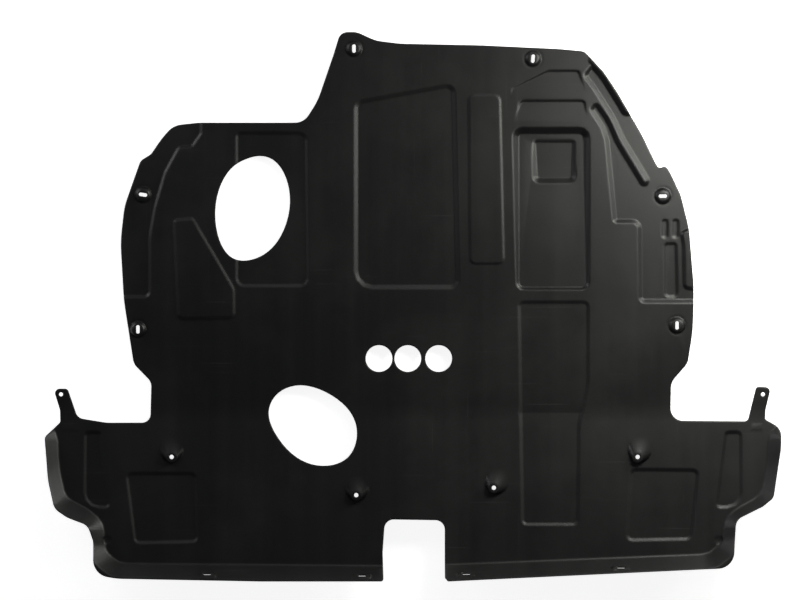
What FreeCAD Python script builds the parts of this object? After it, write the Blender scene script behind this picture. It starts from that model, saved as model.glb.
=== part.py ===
"""Engine splash shield: one moulded plastic sheet, drawn in millimetres.

The sheet lies engine side up, with +X across the vehicle, +Y to its rear and +Z up. The relief is drawn
once and built twice, as the upper skin and as the lower skin one wall thickness under it. The sheet is
what lies between the two, cut to the outline and pierced.
"""

import FreeCAD, Part
import math
import os

Vector = FreeCAD.Vector

# Wall
WALL = 3.0

# Eased folds: radius of the arc and the number of flats that it is drawn as
SHARP = (0.0, 1)
CROWN = (4.0, 2)
SOFT_CROWN = (4.0, 1)
FOOT = (1.5, 1)
FLANGE_FOOT = (6.0, 2)
DOME_CROWN = (3.0, 1)

# Rounded corners of the relief: the most that one flat turns, in degrees, and the flats of a full circle
CORNER_TURN = 30.0
CIRCLE_FLATS = 16

# Side profile: level from the rear edge to the bend, then climbing to the front
FRONT_PITCH = 6.5
FRONT_BEND_Y = -160.0
FRONT_BEND_RADIUS = 250.0

# Slopes of the moulded walls, from the level
PAN_SLOPE = 46.0
STEP_SLOPE = 36.0
SOFT_SLOPE = 24.0
FLANGE_SLOPE = 47.0

# Depths and heights of the relief
PAN_DEPTH = 10.0
PAN_FRONT_DEPTH = 4.0
SCOOP_DEPTH = 4.0
OUTER_FIELD_DEPTH = 4.5
LEFT_FIELD_DEPTH = 3.0
TERRACE_DEPTH = 3.0
CENTRE_DEPTH = 3.0
CHANNEL_DEPTH = 2.0
RECESS_DEPTH = 2.2
GROOVE_DEPTH = 2.0
FLUTE_DEPTH = 1.6
FLANGE_HEIGHT = 27.0
RIM_HEIGHT = 7.0
SIDE_RIM_HEIGHT = 4.0
PAD_HEIGHT = 2.2
PANEL_HEIGHT = 1.4

# Fastener seats
DISH_RADIUS = 17.5
DISH_DEPTH = 1.6
DISH_SLOPE = 32.0
DOME_RADIUS = 12.5
DOME_HEIGHT = 5.5
DOME_SLOPE = 54.5
CONE_RADIUS = 18.0
CONE_SEAT_RADIUS = 8.5
CONE_RISE = 9.0
CONE_SLOPE = 71.5
CONE_BURY = 6.0
BOLT_HOLE = 6.4
TAB_HOLE = 6.0
SLOT_WIDTH = 5.2
SLOT_LENGTH = 12.6

# Slots in the turned-up lip, each on a small raised pad
LIP_SLOT_WIDTH = 4.4
LIP_SLOT_LENGTH = 13.0
LIP_SLOT_RUN = 16.5
LIP_PAD_HEIGHT = 1.4

# Dimples at the front corners and pads at the roots of the tabs
DIMPLE_RADIUS = 8.0
DIMPLE_DEPTH = 2.0
DIMPLE_SLOPE = 30.0
ROOT_PAD_HEIGHT = 1.6

# Service openings
DRAIN_HOLE = 40.0
DRAIN_X = (-51.0, -7.8, 38.5)
DRAIN_Y = -78.8

# Tab holes
TAB_X = (-528.0, 525.0)
TAB_Y = -132.5

# Ends of the working block that the relief is cut in
REACH_X = 720.0
REACH_Y = 560.0
DEEP = 80.0
HIGH = 90.0
OVERRUN = 2.0


def offset_corners(corners, grow):
    """Corners of the same outline moved outward by grow, with concentric rounds."""
    count = len(corners)
    area = sum(corners[i - 1][0] * corners[i][1] - corners[i][0] * corners[i - 1][1] for i in range(count))
    turn = 1.0 if area > 0 else -1.0
    moved = []
    for i in range(count):
        x, y, radius = corners[i]
        back = Vector(x - corners[i - 1][0], y - corners[i - 1][1], 0).normalize()
        ahead = Vector(corners[(i + 1) % count][0] - x, corners[(i + 1) % count][1] - y, 0).normalize()
        side_back = Vector(back.y, -back.x, 0) * turn
        side_ahead = Vector(ahead.y, -ahead.x, 0) * turn
        mitre = (side_back + side_ahead) * (grow / (1.0 + side_back.dot(side_ahead)))
        bulges = (back.x * ahead.y - back.y * ahead.x) * turn > 0
        moved.append((x + mitre.x, y + mitre.y, radius + (grow if bulges else -grow) if radius else 0.0))
    return moved


def rounds(corners):
    """Start, middle, end and centre of the arc at each rounded corner, and its turn in degrees."""
    found = []
    for i in range(len(corners)):
        x, y, radius = corners[i]
        here = Vector(x, y, 0)
        if radius == 0.0:
            found.append((here, here, here, here, 0.0))
            continue
        following = corners[(i + 1) % len(corners)]
        back = (Vector(corners[i - 1][0], corners[i - 1][1], 0) - here).normalize()
        ahead = (Vector(following[0], following[1], 0) - here).normalize()
        half = back.getAngle(ahead) / 2
        reach = radius / math.tan(half)
        inward = (back + ahead).normalize()
        centre = here + inward * (radius / math.sin(half))
        found.append((here + back * reach, centre - inward * radius, here + ahead * reach, centre,
                      180 - 2 * math.degrees(half)))
    return found


def arc_wire(corners, place):
    """Straight runs and tangent arcs through the corners; place turns plane values into a point."""
    arcs = rounds(corners)
    edges = []
    for i in range(len(arcs)):
        start, middle, end, centre, turn = arcs[i]
        if turn:
            edges.append(Part.Arc(*[place(p.x, p.y) for p in (start, middle, end)]).toShape())
        ahead = arcs[(i + 1) % len(arcs)][0]
        if end.distanceToPoint(ahead) > 1e-6:
            edges.append(Part.LineSegment(place(end.x, end.y), place(ahead.x, ahead.y)).toShape())
    return Part.Wire(edges)


def flat_points(corners):
    """Points of the same outline with each arc drawn as equal flats."""
    points = []
    for start, middle, end, centre, turn in rounds(corners):
        flats = max(1, math.ceil(turn / CORNER_TURN))
        clockwise = (start - centre).cross(end - centre).z < 0
        step = math.radians(-turn if clockwise else turn) / flats
        spoke = start - centre
        for i in range(flats + 1 if turn else 1):
            cosine, sine = math.cos(step * i), math.sin(step * i)
            points.append((centre.x + spoke.x * cosine - spoke.y * sine, centre.y + spoke.x * sine + spoke.y * cosine))
    return [points[i] for i in range(len(points)) if math.dist(points[i - 1], points[i]) > 1e-6]


def flat_face(points):
    return Part.Face(Part.makePolygon(points + points[:1]))


def stack(sections):
    """A solid whose flat sides join outlines that lie one above the other, point to point."""
    faces = [flat_face(sections[0]), flat_face(sections[-1])]
    for low, high in zip(sections, sections[1:]):
        faces += [flat_face([low[i - 1], low[i], high[i], high[i - 1]]) for i in range(len(low))]
    return Part.makeSolid(Part.makeShell(faces))


def skin_inset(slope, skin):
    """How far a wall of the lower skin stands behind the upper one's, measured level."""
    return skin * WALL * math.tan(math.radians(slope) / 2)


def eased_wall(height, slope, near, far):
    """Points (grow, rise) along a wall from its edge line to the field beyond it, both its folds eased."""
    angle = math.radians(slope)

    def fold(radius, flats):
        turns = [angle * i / flats for i in range(flats + 1)] if radius else [0.0]
        return [(radius * (math.tan(angle / 2) - math.sin(turn)), radius * (1 - math.cos(turn))) for turn in turns]

    run = height / math.tan(angle)
    return fold(*near) + [(-run - grow, height - rise) for grow, rise in reversed(fold(*far))]


def stepped(outline, level, sense, height, slope, skin, near, far):
    """A solid whose side is an eased wall that leaves level upward (sense 1) or downward (sense -1).

    Outline gives the points of its plan at a growth. The lower skin keeps its folds sharp.
    """
    base = level - skin * WALL
    inset = -sense * skin_inset(slope, skin)
    points = eased_wall(height, slope, SHARP if skin else near, SHARP if skin else far)
    points = [(points[0][0], -OVERRUN)] + points
    return stack([[Vector(x, y, base + sense * rise) for x, y in outline(grow + inset)] for grow, rise in points])


def plan(corners):
    """The outline through corners, as a function of how far it is moved outward."""
    return lambda grow: flat_points(offset_corners(corners, grow))


def ring(centre, radius):
    """A round outline, as a function of how far it is moved outward."""
    turns = [2 * math.pi * i / CIRCLE_FLATS for i in range(CIRCLE_FLATS)]
    return lambda grow: [(centre[0] + (radius + grow) * math.cos(turn), centre[1] + (radius + grow) * math.sin(turn))
                         for turn in turns]


def crown(slope):
    """A gentle wall turns over its crown in one flat."""
    return SOFT_CROWN if slope <= SOFT_SLOPE else CROWN


def raised(corners, level, height, slope, skin, foot=FOOT):
    """Material that stands height above level, its foot line being corners."""
    return stepped(plan(corners), level, 1, height, slope, skin, foot, crown(slope))


def sunk(corners, level, depth, slope, skin):
    """The space of a pocket depth below level, its upper edge being corners."""
    return stepped(plan(corners), level, -1, depth, slope, skin, crown(slope), FOOT)


def climb(y):
    """Height of the plain field at a place y along the vehicle."""
    return max(0.0, (FRONT_BEND_Y - y) * math.tan(math.radians(FRONT_PITCH)))


def on_front(shape):
    """A shape drawn level, tipped about the bend so that it lies on the climbing front field."""
    shape.rotate(Vector(0, FRONT_BEND_Y, 0), Vector(1, 0, 0), -FRONT_PITCH)
    return shape


def plain_field(skin):
    """The block under the plain sheet, before any relief."""
    top = -skin * WALL
    profile = [
        (-REACH_Y, climb(-REACH_Y) + top, 0.0),
        (FRONT_BEND_Y, top, FRONT_BEND_RADIUS),
        (REACH_Y, top, 0.0),
        (REACH_Y, -DEEP, 0.0),
        (-REACH_Y, -DEEP, 0.0),
    ]
    wire = arc_wire(profile, lambda y, z: Vector(-REACH_X, y, z))
    return Part.Face(wire).extrude(Vector(2 * REACH_X, 0, 0))


OUTLINE = [
    (-109, 411, 15), (-84, 411, 26), (-56, 398, 60), (-19, 393.5, 120), (103, 391, 400), (219, 385.5, 300),
    (257, 382, 13), (286, 351, 60), (306, 321, 200), (344, 256, 200), (362, 218, 30), (369, 206, 5),
    (379, 211, 7), (386, 200, 60), (402, 166, 80), (414, 117, 160), (421.5, 25, 300), (419.5, -38, 200),
    (412, -86, 22), (387, -114, 25), (386, -172, 19), (502, -173, 7), (515, -121, 5), (537, -122, 7),
    (528.5, -156, 20), (528, -170, 4), (551.5, -183, 18), (550.5, -215, 80), (539, -287, 16),
    (523, -300, 14), (483, -320, 18), (478, -391, 25), (52, -411, 3), (47.5, -406, 4), (47.5, -321, 14),
    (-42, -319.5, 14), (-45.5, -369, 60), (-44, -411, 4), (-228, -411, 400), (-441, -407, 120),
    (-477, -401, 26), (-478, -352, 25), (-486, -328, 18), (-517, -316, 40), (-536, -303, 22),
    (-546, -261, 120), (-551.5, -196, 9), (-529, -174, 4), (-529.5, -156, 14), (-539.5, -124, 7),
    (-518, -124, 6), (-503, -168, 14), (-460, -175, 80), (-394, -175, 13), (-392.5, -114, 17),
    (-419, -87, 22), (-434, 10, 300), (-439, 97, 200), (-433, 150, 100), (-409, 218, 14), (-393, 228, 12),
    (-378, 250, 100), (-360, 271, 32), (-322, 275, 60), (-164, 275, 24), (-143, 308, 100), (-119, 378, 160),
]

EGG_OPENING = [(-246, 222), (-207, 217), (-187, 180), (-190, 125), (-228, 75), (-266, 70), (-296, 125),
               (-278, 200)]
OVAL_OPENING = [(-169, -119), (-124, -133), (-85, -181), (-98, -227), (-148, -238), (-204, -195),
                (-216, -155), (-200, -129)]

# Ends of the pan, and front end of the deeper pocket in it, along the vehicle
PAN_REAR_Y = 268.0
PAN_FRONT_Y = 24.0
SCOOP_FRONT_Y = 184.0
MAIN_PAN = [(149, PAN_REAR_Y, 14), (265, PAN_REAR_Y, 16), (265, PAN_FRONT_Y, 12), (155, PAN_FRONT_Y, 12)]
SCOOP = [(175, 254, 10), (248, 254, 10), (246, SCOOP_FRONT_Y, 12), (179, SCOOP_FRONT_Y, 12)]

CHANNEL = [(157, 8, 9), (265, 8, 9), (265, -120, 60), (251, -175, 60), (249, -330, 9), (162, -330, 9)]
CENTRE_PANEL = [(-89, 308, 14), (64, 336, 14), (71, 25, 14), (-89, 25, 28)]
SIDE_PANEL = [(82, 318, 10), (132, 318, 10), (138, 62, 10), (84, 62, 10)]
OUTER_FIELD = [
    (330, 440, 30), (254, 346, 8), (270, 325, 60), (297, 282, 60), (313, 248, 60), (350, 187, 1.9),
    (346.6, 184.9, 1.9), (309.6, 245.9, 60), (296, 278, 60), (274, 310, 7), (264, 294.4, 7), (287, 259, 40),
    (300, 124, 7), (337, 124, 8), (338, 4, 10), (520, 4, 30), (520, 440, 30),
]
SIDE_GROOVE = [(376, 96, 6), (376, 12, 8), (399, 12, 8), (397, 96, 6)]
FLUTES = [
    [(372, 131, 5), (384, 131, 5), (384, 101, 5), (372, 101, 5)],
    [(388, 131, 5), (400, 131, 5), (400, 101, 5), (388, 101, 5)],
]
LEFT_FIELD = [
    (-316, 340, 30), (-316, 258, 6), (-331, 237, 8), (-350, 237, 8), (-370, 200, 12), (-385, 150, 60),
    (-393, 105, 60), (-393, 12, 10), (-520, 12, 30), (-520, 340, 30),
]
OPENING_RECESS = [(-267, 262, 8), (-158, 262, 14), (-155, 28, 14), (-267, 28, 14)]
LEFT_PAD = [(-361, 131, 7), (-329, 134, 8), (-317, 113, 14), (-266, 26, 20), (-266, -20, 10), (-354, -22, 10)]
FRONT_LEFT_RECESS = [(-432, -249, 10), (-324, -249, 10), (-320, -356, 10), (-418, -358, 10)]
FRONT_RIGHT_RECESS = [(325, -243, 10), (430, -244, 10), (418, -352, 10), (318, -354, 10)]
WING_RECESS = [(-494, -187, 8), (-494, -303, 24), (-452, -305, 8), (-467, -187, 8)]

DIAGONAL_RIM = [(258, 366, 9), (280, 343, 60), (305, 303, 60), (316, 284, 9), (350, 290, 13), (330, 392, 30),
                (270, 410, 9)]
SIDE_RIM = [(400, 112, 9), (404, 90, 60), (405, 24, 9), (450, 24, 13), (446, 130, 13)]
FRONT_FLANGE = [
    (-533, -176, 28), (-531, -240, 120), (-520, -288, 24), (-486, -306, 50), (-463, -325, 28), (-461, -366, 20),
    (-441, -387, 30), (0, -391, 900), (445, -373, 30), (463, -352, 20), (465, -323, 28), (486, -304, 50),
    (520, -286, 24), (531, -240, 120), (534, -176, 28), (640, -176, 28), (640, -500, 60), (-640, -500, 60),
    (-640, -176, 28),
]

ROOT_PAD = [(506, -175, 4), (526, -175, 4), (529, -188, 4), (503, -188, 4)]
LIP_PAD = [(-14, -6, 4), (14, -6, 4), (14, 6, 4), (-14, 6, 4)]

# Slots in the lip: place across the vehicle, and the lip's foot line there
LIP_SLOTS = [(-307.5, -388.2), (-76.0, -390.3), (79.5, -387.8), (310.5, -378.4)]

DIMPLES = [(-456.0, -351.0), (456.0, -351.0)]


def mirrored(corners):
    return [(-x, y, radius) for x, y, radius in corners]


def ramped(corners, depth, front_y, front_depth, slope, skin):
    """A pocket that is depth deep at its rear edge, its floor climbing to front_depth at front_y."""
    rear_y = max(y for x, y, radius in corners)
    pocket = sunk(corners, 0.0, depth, slope, skin)
    floor = [Vector(-REACH_X, front_y, -skin * WALL - front_depth), Vector(-REACH_X, rear_y, -skin * WALL - depth)]
    above = [Vector(-REACH_X, REACH_Y, floor[1].z), Vector(-REACH_X, REACH_Y, HIGH), Vector(-REACH_X, front_y, HIGH)]
    return pocket.common(flat_face(floor + above).extrude(Vector(2 * REACH_X, 0, 0)))


# Terraces behind the pan: outline, and place where the floor runs out
TERRACES = [
    ([(148, 326, 8), (202, 354, 10), (249, 354, 6), (262, 312, 4), (148, 312, 4)], 314.0),
    ([(160, 309, 8), (258, 309, 6), (262, 272, 4), (152, 272, 4)], 276.0),
]

# Slotted seats: centre, level under the seat, angle of the slot from +X
SLOT_SEATS = [
    ((-88.5, 386.0), 0.0, 90.0),
    ((180.0, 371.0), 0.0, 84.0),
    ((375.0, 165.0), -OUTER_FIELD_DEPTH, 0.0),
    ((396.0, -29.0), 0.0, 90.0),
    ((-405.0, 167.0), -LEFT_FIELD_DEPTH, -9.0),
    ((-412.5, -35.0), 0.0, 90.0),
]

# Front seats: centre of the foot circle, centre of the hole
CONE_SEATS = [
    ((-362.0, -217.0), (-361.5, -226.0)),
    ((-84.0, -275.0), (-85.0, -283.0)),
    ((126.0, -265.0), (121.0, -272.0)),
    ((340.0, -217.0), (336.5, -226.0)),
]


def dish(centre, level, skin):
    """Shallow round dish round a slotted seat."""
    return stepped(ring(centre, DISH_RADIUS), level, -1, DISH_DEPTH, DISH_SLOPE, skin, SHARP, SHARP)


def dome(centre, level, skin):
    """Raised round seat in its dish."""
    return stepped(ring(centre, DOME_RADIUS), level - DISH_DEPTH, 1, DOME_HEIGHT, DOME_SLOPE, skin, SHARP, DOME_CROWN)


def cone_seat(foot, hole, skin):
    """Leaning cone that lifts a level bolt seat out of the climbing front field."""
    inset = skin_inset(CONE_SLOPE, skin)
    base = climb(foot[1]) - skin * WALL
    seat = climb(hole[1]) + CONE_RISE - skin * WALL
    # The foot circle is carried on down the same lean, so that the cone starts inside the field
    share = CONE_BURY / (seat - base)
    start = Vector(foot[0] - (hole[0] - foot[0]) * share, foot[1] - (hole[1] - foot[1]) * share, base - CONE_BURY)
    start_radius = CONE_RADIUS + (CONE_RADIUS - CONE_SEAT_RADIUS) * share - inset
    sections = [(start, start_radius), (Vector(hole[0], hole[1], seat), CONE_SEAT_RADIUS - inset)]
    return stack([[Vector(x, y, middle.z) for x, y in ring(middle, radius)(0.0)] for middle, radius in sections])


def on_lip(shape, x, foot_y):
    """A shape drawn level about the origin, moved on to the lip above its foot line."""
    shape.rotate(Vector(0, 0, 0), Vector(1, 0, 0), -FLANGE_SLOPE)
    rise = LIP_SLOT_RUN * math.tan(math.radians(FLANGE_SLOPE))
    shape.translate(Vector(x, foot_y - LIP_SLOT_RUN, rise))
    return on_front(shape)


def lip_pad(x, foot_y, skin):
    pad = stepped(plan(LIP_PAD), 0.0, 1, LIP_PAD_HEIGHT, STEP_SLOPE, skin, SHARP, SHARP)
    return on_lip(pad, x, foot_y)


def root_pad(corners, skin):
    return on_front(stepped(plan(corners), 0.0, 1, ROOT_PAD_HEIGHT, STEP_SLOPE, skin, SHARP, SHARP))


def dimple(centre, skin):
    return on_front(stepped(ring(centre, DIMPLE_RADIUS), 0.0, -1, DIMPLE_DEPTH, DIMPLE_SLOPE, skin, SHARP, SHARP))


def zone(low, high):
    """All the space between two places along the vehicle."""
    return Part.makeBox(2 * REACH_X, high - low, DEEP + HIGH, Vector(-REACH_X, low, -DEEP))


def bent(shape):
    """A shape drawn level that follows the sheet over the bend."""
    rear = shape.common(zone(FRONT_BEND_Y, REACH_Y))
    front = on_front(shape.copy()).common(zone(-REACH_Y, FRONT_BEND_Y))
    return [rear, front]


def scoop(skin):
    """The deeper pocket in the pan's climbing floor."""
    climbed = (PAN_DEPTH - PAN_FRONT_DEPTH) * (PAN_REAR_Y - SCOOP_FRONT_Y) / (PAN_REAR_Y - PAN_FRONT_Y)
    return sunk(SCOOP, climbed - PAN_DEPTH, SCOOP_DEPTH + climbed, STEP_SLOPE, skin)


def relief(skin):
    """Everything under one skin of the sheet."""
    field = plain_field(skin)
    field = field.fuse([
        raised(LEFT_PAD, 0.0, PAD_HEIGHT, SOFT_SLOPE, skin),
        raised(SIDE_PANEL, 0.0, PANEL_HEIGHT, SOFT_SLOPE, skin),
        on_front(raised(FRONT_FLANGE, 0.0, FLANGE_HEIGHT, FLANGE_SLOPE, skin, FLANGE_FOOT)),
    ])
    front_recesses = [WING_RECESS, mirrored(WING_RECESS), FRONT_LEFT_RECESS, FRONT_RIGHT_RECESS]
    field = field.cut([
        ramped(MAIN_PAN, PAN_DEPTH, PAN_FRONT_Y, PAN_FRONT_DEPTH, PAN_SLOPE, skin),
        sunk(OUTER_FIELD, 0.0, OUTER_FIELD_DEPTH, STEP_SLOPE, skin),
        sunk(LEFT_FIELD, 0.0, LEFT_FIELD_DEPTH, STEP_SLOPE, skin),
        sunk(CENTRE_PANEL, 0.0, CENTRE_DEPTH, SOFT_SLOPE, skin),
        sunk(OPENING_RECESS, 0.0, RECESS_DEPTH, SOFT_SLOPE, skin),
    ] + [ramped(corners, TERRACE_DEPTH, front_y, 0.0, PAN_SLOPE, skin) for corners, front_y in TERRACES]
      + [on_front(sunk(corners, 0.0, RECESS_DEPTH, SOFT_SLOPE, skin)) for corners in front_recesses]
      + bent(sunk(CHANNEL, 0.0, CHANNEL_DEPTH, SOFT_SLOPE, skin)))
    field = field.cut([
        scoop(skin),
        sunk(SIDE_GROOVE, -OUTER_FIELD_DEPTH, GROOVE_DEPTH, SOFT_SLOPE, skin),
    ] + [sunk(corners, -OUTER_FIELD_DEPTH, FLUTE_DEPTH, SOFT_SLOPE, skin) for corners in FLUTES]
      + [dish(centre, level, skin) for centre, level, angle in SLOT_SEATS]
      + [dimple(centre, skin) for centre in DIMPLES])
    return field.fuse([
        raised(DIAGONAL_RIM, -OUTER_FIELD_DEPTH, RIM_HEIGHT, FLANGE_SLOPE, skin),
        raised(SIDE_RIM, -OUTER_FIELD_DEPTH, SIDE_RIM_HEIGHT, FLANGE_SLOPE, skin),
    ] + [dome(centre, level, skin) for centre, level, angle in SLOT_SEATS]
      + [cone_seat(foot, hole, skin) for foot, hole in CONE_SEATS]
      + [lip_pad(x, foot_y, skin) for x, foot_y in LIP_SLOTS]
      + [root_pad(corners, skin) for corners in (ROOT_PAD, mirrored(ROOT_PAD))])


def smooth_loop(points, low, high):
    """A plug whose outline is one closed curve through the points."""
    curve = Part.BSplineCurve()
    curve.interpolate([Vector(x, y, low) for x, y in points], PeriodicFlag=True)
    return Part.Face(Part.Wire(curve.toShape())).extrude(Vector(0, 0, high - low))


def round_plug(x, y, diameter):
    return Part.makeCylinder(diameter / 2, HIGH + DEEP, Vector(x, y, -DEEP))


def slot_plug(length, width, reach):
    """A plug for a slot with round ends that runs along X, reach each way from the origin."""
    half = (length - width) / 2
    corner = width / 2
    path = [(-half, -corner), (half, -corner), (length / 2, 0), (half, corner), (-half, corner), (-length / 2, 0)]
    a, b, c, d, e, f = [Vector(x, y, -reach) for x, y in path]
    edges = [Part.LineSegment(a, b), Part.Arc(b, c, d), Part.LineSegment(d, e), Part.Arc(e, f, a)]
    return Part.Face(Part.Wire([edge.toShape() for edge in edges])).extrude(Vector(0, 0, 2 * reach))


def seat_slot(centre, angle):
    """The slot of a seat; angle is that of its length from +X."""
    plug = slot_plug(SLOT_LENGTH, SLOT_WIDTH, HIGH)
    plug.rotate(Vector(0, 0, 0), Vector(0, 0, 1), angle)
    plug.translate(Vector(centre[0], centre[1], 0))
    return plug


def lip_slot(x, foot_y):
    return on_lip(slot_plug(LIP_SLOT_LENGTH, LIP_SLOT_WIDTH, LIP_SLOT_RUN), x, foot_y)


def openings():
    """Every hole through the sheet."""
    plugs = [smooth_loop(EGG_OPENING, -DEEP, HIGH), smooth_loop(OVAL_OPENING, -DEEP, HIGH)]
    plugs += [round_plug(x, DRAIN_Y, DRAIN_HOLE) for x in DRAIN_X]
    plugs += [seat_slot(centre, angle) for centre, level, angle in SLOT_SEATS]
    plugs += [lip_slot(x, foot_y) for x, foot_y in LIP_SLOTS]
    plugs += [round_plug(hole[0], hole[1], BOLT_HOLE) for foot, hole in CONE_SEATS]
    plugs += [round_plug(x, TAB_Y, TAB_HOLE) for x in TAB_X]
    return plugs


def main():
    sheet = relief(0).cut(relief(1))
    rim = Part.Face(arc_wire(OUTLINE, lambda x, y: Vector(x, y, -DEEP)))
    sheet = sheet.common(rim.extrude(Vector(0, 0, HIGH + DEEP)))
    sheet = sheet.cut(openings())
    sheet.translate(Vector(0, 0, PAN_DEPTH + SCOOP_DEPTH + WALL))
    os.makedirs("parts", exist_ok=True)
    sheet.exportStep("parts/splash_shield.step")
    print(sheet.isValid(), len(sheet.Solids), round(sheet.Volume), sheet.BoundBox)


if __name__ == "__main__":
    main()
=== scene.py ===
import math

import bmesh
import bpy
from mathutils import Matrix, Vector


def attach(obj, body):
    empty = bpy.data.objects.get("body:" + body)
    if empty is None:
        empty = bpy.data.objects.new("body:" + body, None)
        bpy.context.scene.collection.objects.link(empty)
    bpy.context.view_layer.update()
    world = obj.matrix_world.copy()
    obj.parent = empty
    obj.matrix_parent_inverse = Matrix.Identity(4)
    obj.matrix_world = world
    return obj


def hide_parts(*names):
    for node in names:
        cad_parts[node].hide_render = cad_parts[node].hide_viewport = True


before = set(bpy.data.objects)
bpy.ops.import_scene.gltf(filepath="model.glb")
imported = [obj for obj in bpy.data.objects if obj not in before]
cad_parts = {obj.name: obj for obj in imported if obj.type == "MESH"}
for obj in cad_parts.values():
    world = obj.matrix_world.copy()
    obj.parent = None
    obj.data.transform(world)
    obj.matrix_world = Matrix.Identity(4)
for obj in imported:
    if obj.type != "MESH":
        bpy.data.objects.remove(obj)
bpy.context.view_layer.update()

# Unless a line says otherwise, lengths are in metres, angles in degrees and lamp powers in watts.

# Photograph: its size in pixels, what one pixel is on the sheet, and the pixel over the sheet's middle
IMAGE = (800, 600)
PIXEL = 0.0015
MIDDLE_PIXEL = (413, 306)

# Camera, straight above the sheet's level field
CAMERA_HEIGHT = 10.0
CAMERA_REACH = 50.0
SENSOR_MM = 36.0

# Sheet: height of its level field, and what is one point, one flat and one smooth surface in its mesh
LEVEL_FIELD = 0.017
MERGE_UNDER = 1e-6
FLAT_UNDER = 0.2
SMOOTH_UNDER = 38.0

# Black plastic: its tone in the dark and the pale of its mottle, and where it is dusty, scuffed or worn
PLASTIC_DARK = (0.0034, 0.0034, 0.0036)
PLASTIC_PALE = (0.0048, 0.0048, 0.0050)
DUST_COLOUR = (0.060, 0.058, 0.055)
SCUFF_COLOUR = (0.05, 0.05, 0.05)
WORN_COLOUR = (0.035, 0.035, 0.036)
PLASTIC_IOR = 1.49

# Black plastic: roughness between its streaks, and what dust and scuffs add to it
STREAK_GLOSSY = 0.395
STREAK_DULL = 0.465
DUST_DULLS = 0.5
SCUFF_DULLS = 0.12

# Black plastic: how much there is of each effect, and how far it changes the tone
DUST_AMOUNT = 0.12
SCUFF_AMOUNT = 0.6
SCUFF_SHOWS = 0.35
WORN_SHOWS = 0.5
WORN_WIDTH = 0.0011

# Black plastic: pebbles of the grain, height of its skin, scuffs against it, and rounding of the edges
PEBBLE = 0.0011
SKIN_STRENGTH = 0.16
SKIN_DEPTH = 0.0002
SCUFF_DEPTH = -0.6
EDGE_ROUND = 0.0035

# Floor
FLOOR_HALF_WIDTH = 6.0
FLOOR_COLOUR = (0.8, 0.8, 0.8)
FLOOR_ROUGHNESS = 0.9
FLOOR_GLOW = 0.87

# Light: tints of the lamps and of the surroundings, and the strength of the surroundings
NEUTRAL = (1.0, 1.0, 1.0)
WARM = (1.0, 1.0, 0.94)
COOL = (0.94, 0.95, 1.0)
SURROUNDINGS = 0.06

# Colour sockets of a Mix node, which has such a set for each kind of data
MIX_FACTOR, MIX_FIRST, MIX_SECOND, MIX_RESULT = 0, 6, 7, 2


# Nodes

def place(tree, kind, **settings):
    """A new node of the given kind, with its settings."""
    node = tree.nodes.new(kind)
    for name, value in settings.items():
        setattr(node, name, value)
    return node


def feed(tree, target, name, source):
    """Sets an input to a number or colour, or links it to an output."""
    socket = target.inputs[name]
    if isinstance(source, bpy.types.NodeSocket):
        tree.links.new(source, socket)
    else:
        socket.default_value = source


def maths(tree, operation, *values, clamp=False):
    """Result of one operation on numbers or outputs."""
    node = place(tree, "ShaderNodeMath", operation=operation, use_clamp=clamp)
    for index, value in enumerate(values):
        feed(tree, node, index, value)
    return node.outputs[0]


def noise(tree, where, scale, detail, roughness=0.5):
    """Soft noise with scale waves to one unit of the coordinates."""
    node = place(tree, "ShaderNodeTexNoise")
    for name, value in (("Vector", where), ("Scale", scale), ("Detail", detail), ("Roughness", roughness)):
        feed(tree, node, name, value)
    return node.outputs["Fac"]


def ramp(tree, value, low, high, start=0.0, end=1.0):
    """Straight change from start to end as value goes from low to high, held at both ends."""
    node = place(tree, "ShaderNodeMapRange", clamp=True)
    for name, number in (("Value", value), ("From Min", low), ("From Max", high), ("To Min", start),
                         ("To Max", end)):
        feed(tree, node, name, number)
    return node.outputs[0]


def stretched(tree, where, scale, turn):
    """Coordinates scaled along each axis and turned about the vertical, in radians."""
    node = place(tree, "ShaderNodeMapping")
    feed(tree, node, "Vector", where)
    feed(tree, node, "Scale", scale)
    feed(tree, node, "Rotation", (0.0, 0.0, turn))
    return node.outputs[0]


def mixed(tree, mask, first, second):
    """Colour that goes from first to second as the mask rises."""
    node = place(tree, "ShaderNodeMix", data_type="RGBA")
    for index, value in ((MIX_FACTOR, mask), (MIX_FIRST, first), (MIX_SECOND, second)):
        feed(tree, node, index, (*value, 1.0) if isinstance(value, tuple) else value)
    return node.outputs[MIX_RESULT]


def group(name, inputs, outputs):
    """An empty node group with the named sockets, and its input and output nodes."""
    tree = bpy.data.node_groups.new(name, "ShaderNodeTree")
    for side, sockets in (("INPUT", inputs), ("OUTPUT", outputs)):
        for socket, kind in sockets:
            tree.interface.new_socket(socket, in_out=side, socket_type=kind)
    return tree, tree.nodes.new("NodeGroupInput"), tree.nodes.new("NodeGroupOutput")


def use(tree, made, **values):
    """Places a node group in a material with the given values."""
    node = place(tree, "ShaderNodeGroup", node_tree=made)
    for name, value in values.items():
        feed(tree, node, name, value)
    return node


# Effects on the plastic

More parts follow.
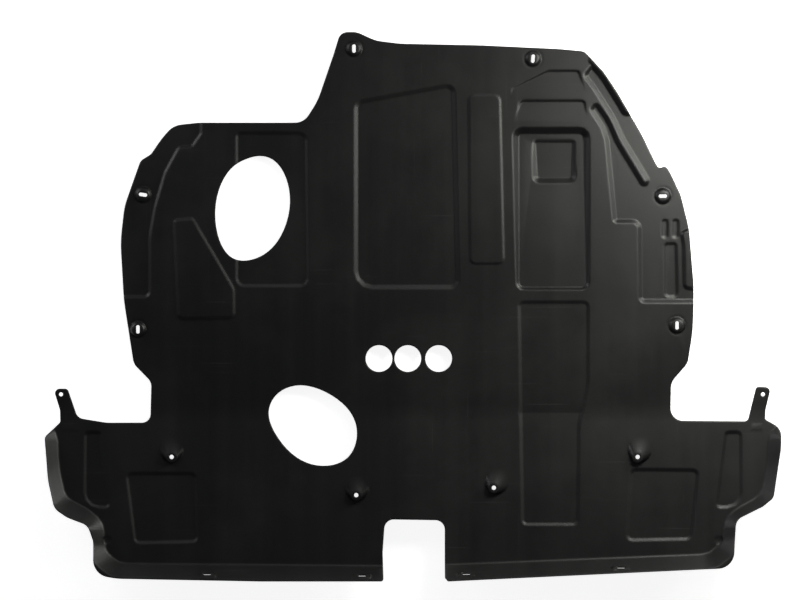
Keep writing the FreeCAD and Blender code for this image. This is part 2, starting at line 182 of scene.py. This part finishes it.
def grain_group():
    """Fine pebbled skin of the mould, as a height, and the coarse mottle of its tone."""
    fine_per_pebble = 1.7
    fine_share = 0.6
    mottle_per_metre = 14.0
    tree, given, out = group(
        "moulded grain",
        [("Vector", "NodeSocketVector"), ("Size", "NodeSocketFloat")],
        [("Height", "NodeSocketFloat"), ("Mottle", "NodeSocketFloat")])
    where = given.outputs["Vector"]
    pebbles_per_metre = maths(tree, "DIVIDE", 1.0, given.outputs["Size"])
    pebbles = place(tree, "ShaderNodeTexVoronoi", feature="SMOOTH_F1")
    feed(tree, pebbles, "Vector", where)
    feed(tree, pebbles, "Scale", pebbles_per_metre)
    fine = noise(tree, where, maths(tree, "MULTIPLY", pebbles_per_metre, fine_per_pebble), detail=3.0)
    feed(tree, out, "Height", maths(tree, "MULTIPLY_ADD", fine, fine_share, pebbles.outputs["Distance"]))
    feed(tree, out, "Mottle", noise(tree, where, mottle_per_metre, detail=5.0, roughness=0.6))
    return tree


def scuff_group():
    """Hairline scratches in two directions, as a mask that breaks up along its length."""
    fade = 0.05
    patch_starts, patch_full = 0.5, 0.62
    # Direction in radians, waves to the metre along each axis, where lines begin, patches to the metre
    sets = ((0.35, (6.0, 420.0, 6.0), 0.70, 8.05),
            (-1.1, (380.0, 5.0, 5.0), 0.715, 3.7))
    tree, given, out = group(
        "hairline scuffs",
        [("Vector", "NodeSocketVector"), ("Amount", "NodeSocketFloat")],
        [("Mask", "NodeSocketFloat")])
    where = given.outputs["Vector"]
    masks = []
    for turn, waves, shows_at, patches_per_metre in sets:
        line = noise(tree, stretched(tree, where, waves, turn), 1.0, detail=1.0)
        patch = noise(tree, where, patches_per_metre, detail=1.0)
        masks.append(maths(tree, "MULTIPLY", ramp(tree, line, shows_at, shows_at + fade),
                           ramp(tree, patch, patch_starts, patch_full)))
    both = maths(tree, "MAXIMUM", *masks)
    feed(tree, out, "Mask", maths(tree, "MULTIPLY", both, given.outputs["Amount"]))
    return tree


def dust_group():
    """Pale dust that lies in soft patches, with scattered specks."""
    patches_per_metre, patch_starts, patch_full = 5.0, 0.45, 0.75
    specks_per_metre, speck_edge, speck_core = 260.0, 0.13, 0.05
    speck_fields_per_metre, field_starts, field_full = 90.0, 0.6, 0.66
    speck_strength = 0.5
    tree, given, out = group(
        "settled dust",
        [("Vector", "NodeSocketVector"), ("Amount", "NodeSocketFloat")],
        [("Mask", "NodeSocketFloat")])
    where = given.outputs["Vector"]
    patch = ramp(tree, noise(tree, where, patches_per_metre, detail=6.0, roughness=0.65),
                 patch_starts, patch_full)
    specks = place(tree, "ShaderNodeTexVoronoi", feature="F1")
    feed(tree, specks, "Vector", where)
    feed(tree, specks, "Scale", specks_per_metre)
    dots = ramp(tree, specks.outputs["Distance"], speck_edge, speck_core)
    chosen = ramp(tree, noise(tree, where, speck_fields_per_metre, detail=0.0), field_starts, field_full)
    mask = maths(tree, "MULTIPLY_ADD", maths(tree, "MULTIPLY", dots, chosen), speck_strength, patch)
    feed(tree, out, "Mask", maths(tree, "MULTIPLY", mask, given.outputs["Amount"], clamp=True))
    return tree


def edge_wear_group():
    """Where the surface turns sharply, as on cut edges and crowns, broken up along the edge."""
    cosine_starts, cosine_full = 0.97, 0.80
    breaks_per_metre, break_starts, break_full = 160.0, 0.35, 0.65
    tree, given, out = group(
        "edge wear",
        [("Vector", "NodeSocketVector"), ("Width", "NodeSocketFloat")],
        [("Mask", "NodeSocketFloat")])
    rounded = place(tree, "ShaderNodeBevel", samples=4)
    feed(tree, rounded, "Radius", given.outputs["Width"])
    flat = place(tree, "ShaderNodeNewGeometry")
    cosine = place(tree, "ShaderNodeVectorMath", operation="DOT_PRODUCT")
    feed(tree, cosine, 0, rounded.outputs["Normal"])
    feed(tree, cosine, 1, flat.outputs["Normal"])
    edge = ramp(tree, cosine.outputs["Value"], cosine_starts, cosine_full)
    broken = ramp(tree, noise(tree, given.outputs["Vector"], breaks_per_metre, detail=3.0),
                  break_starts, break_full)
    feed(tree, out, "Mask", maths(tree, "MULTIPLY", edge, broken))
    return tree


GRAIN = grain_group()
SCUFFS = scuff_group()
DUST = dust_group()
EDGE_WEAR = edge_wear_group()


# Materials

def shield_plastic():
    """Black polypropylene with a satin skin, a fine grain, hairline scuffs and a little dust."""
    material = bpy.data.materials.new("shield_plastic")
    material.use_nodes = True
    tree = material.node_tree
    shader = tree.nodes["Principled BSDF"]
    where = place(tree, "ShaderNodeTexCoord").outputs["Object"]
    grain = use(tree, GRAIN, Vector=where, Size=PEBBLE)
    scuffs = use(tree, SCUFFS, Vector=where, Amount=SCUFF_AMOUNT).outputs["Mask"]
    dust = use(tree, DUST, Vector=where, Amount=DUST_AMOUNT).outputs["Mask"]
    wear = use(tree, EDGE_WEAR, Vector=where, Width=WORN_WIDTH).outputs["Mask"]

    colour = mixed(tree, grain.outputs["Mottle"], PLASTIC_DARK, PLASTIC_PALE)
    colour = mixed(tree, dust, colour, DUST_COLOUR)
    colour = mixed(tree, maths(tree, "MULTIPLY", scuffs, SCUFF_SHOWS), colour, SCUFF_COLOUR)
    colour = mixed(tree, maths(tree, "MULTIPLY", wear, WORN_SHOWS), colour, WORN_COLOUR)
    feed(tree, shader, "Base Color", colour)

    # Faint streaks of gloss run along the vehicle: 26 waves to the metre across it, 0.8 along it
    streak_waves = (26.0, 0.8, 1.0)
    streaks = noise(tree, stretched(tree, where, streak_waves, 0.0), 1.0, detail=3.0, roughness=0.6)
    streak_low, streak_high = 0.3, 0.7
    rough = ramp(tree, streaks, streak_low, streak_high, STREAK_GLOSSY, STREAK_DULL)
    rough = maths(tree, "MULTIPLY_ADD", dust, DUST_DULLS, rough)
    rough = maths(tree, "MULTIPLY_ADD", scuffs, SCUFF_DULLS, rough, clamp=True)
    feed(tree, shader, "Roughness", rough)
    shader.inputs["IOR"].default_value = PLASTIC_IOR

    rounded = place(tree, "ShaderNodeBevel", samples=6)
    feed(tree, rounded, "Radius", EDGE_ROUND)
    skin = place(tree, "ShaderNodeBump")
    feed(tree, skin, "Strength", SKIN_STRENGTH)
    feed(tree, skin, "Distance", SKIN_DEPTH)
    feed(tree, skin, "Height", maths(tree, "MULTIPLY_ADD", scuffs, SCUFF_DEPTH, grain.outputs["Height"]))
    feed(tree, skin, "Normal", rounded.outputs["Normal"])
    feed(tree, shader, "Normal", skin.outputs["Normal"])
    return material


def studio_floor():
    """Pale floor that shows as white and keeps a soft shadow of the sheet."""
    material = bpy.data.materials.new("studio_floor")
    material.use_nodes = True
    tree = material.node_tree
    shader = tree.nodes["Principled BSDF"]
    shader.inputs["Base Color"].default_value = (*FLOOR_COLOUR, 1.0)
    shader.inputs["Roughness"].default_value = FLOOR_ROUGHNESS
    shader.inputs["Specular IOR Level"].default_value = 0.0
    shader.inputs["Emission Color"].default_value = (*NEUTRAL, 1.0)
    path = place(tree, "ShaderNodeLightPath")
    seen = maths(tree, "MAXIMUM", path.outputs["Is Camera Ray"], path.outputs["Is Glossy Ray"])
    seen = maths(tree, "MAXIMUM", seen, path.outputs["Is Transmission Ray"])
    feed(tree, shader, "Emission Strength", maths(tree, "MULTIPLY", seen, FLOOR_GLOW))
    return material


# The sheet

def moulded_sheet(node, material):
    """A merged copy of the node's mesh, smooth over its rounds and crisp at its cut edges."""
    piece = bpy.data.objects.new("moulded_sheet", node.data.copy())
    bpy.context.scene.collection.objects.link(piece)
    shape = bmesh.new()
    shape.from_mesh(piece.data)
    bmesh.ops.remove_doubles(shape, verts=shape.verts, dist=MERGE_UNDER)
    bmesh.ops.dissolve_limit(shape, angle_limit=math.radians(FLAT_UNDER), verts=shape.verts,
                             edges=shape.edges)
    for face in shape.faces:
        face.smooth = True
    sharp_from = math.radians(SMOOTH_UNDER)
    for edge in shape.edges:
        edge.smooth = len(edge.link_faces) == 2 and edge.calc_face_angle(0.0) < sharp_from
    shape.to_mesh(piece.data)
    shape.free()
    piece.data.materials.clear()
    piece.data.materials.append(material)
    weighted = piece.modifiers.new("flat fields stay flat", "WEIGHTED_NORMAL")
    weighted.mode = "FACE_AREA"
    weighted.keep_sharp = True
    return piece


sheet = moulded_sheet(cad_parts["splash_shield"], shield_plastic())
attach(sheet, "root")
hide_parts("splash_shield")


# Floor, lights and camera

def floor():
    """Flat floor under the sheet, at height 0."""
    made = bpy.data.objects.new("floor", bpy.data.meshes.new("floor"))
    bpy.context.scene.collection.objects.link(made)
    shape = bmesh.new()
    bmesh.ops.create_grid(shape, x_segments=1, y_segments=1, size=FLOOR_HALF_WIDTH)
    shape.to_mesh(made.data)
    shape.free()
    made.data.materials.append(studio_floor())
    return made


def softbox(name, place_at, size, power, aim=(0.0, 0.0, LEVEL_FIELD), tint=NEUTRAL):
    """A rectangular lamp turned to the point aim, which the camera doesn't see."""
    lamp = bpy.data.lights.new(name, "AREA")
    lamp.shape = "RECTANGLE"
    lamp.size, lamp.size_y = size
    lamp.energy = power
    lamp.color = tint
    made = bpy.data.objects.new(name, lamp)
    made.location = place_at
    made.rotation_euler = (Vector(aim) - Vector(place_at)).to_track_quat("-Z", "Y").to_euler()
    made.visible_camera = False
    bpy.context.scene.collection.objects.link(made)


def surroundings():
    """Dim, even light from all around."""
    world = bpy.data.worlds.new("studio")
    world.use_nodes = True
    background = world.node_tree.nodes["Background"]
    background.inputs["Color"].default_value = (*COOL, 1.0)
    background.inputs["Strength"].default_value = SURROUNDINGS
    return world


def overhead_camera():
    """Camera that frames the sheet's level field as the photograph does."""
    camera = bpy.data.cameras.new("camera")
    camera.sensor_width = SENSOR_MM
    camera.lens = SENSOR_MM * CAMERA_HEIGHT / (IMAGE[0] * PIXEL)
    camera.clip_end = CAMERA_REACH
    eye = bpy.data.objects.new("camera", camera)
    eye.location = ((IMAGE[0] / 2 - MIDDLE_PIXEL[0]) * PIXEL, (MIDDLE_PIXEL[1] - IMAGE[1] / 2) * PIXEL,
                    LEVEL_FIELD + CAMERA_HEIGHT)
    bpy.context.scene.collection.objects.link(eye)
    return eye


floor()

softbox("rear_softbox", (0.2, 1.1, 1.2), (1.0, 0.6), 2.2)
softbox("right_edge_softbox", (0.57, 0.38, 0.52), (0.35, 0.35), 5.2, (0.52, 0.16, 0.0), WARM)
softbox("low_right_softbox", (1.3, 0.75, 0.38), (0.8, 0.4), 10.0, tint=WARM)
softbox("left_softbox", (-1.0, 0.55, 0.75), (0.5, 0.5), 1.2)
softbox("low_left_softbox", (-1.5, 0.9, 0.35), (0.8, 0.4), 6.0)
softbox("front_softbox", (0.0, -2.6, 0.95), (3.0, 0.8), 1.5)

bpy.context.scene.world = surroundings()
bpy.context.scene.camera = overhead_camera()
bpy.context.scene.view_settings.view_transform = "Standard"
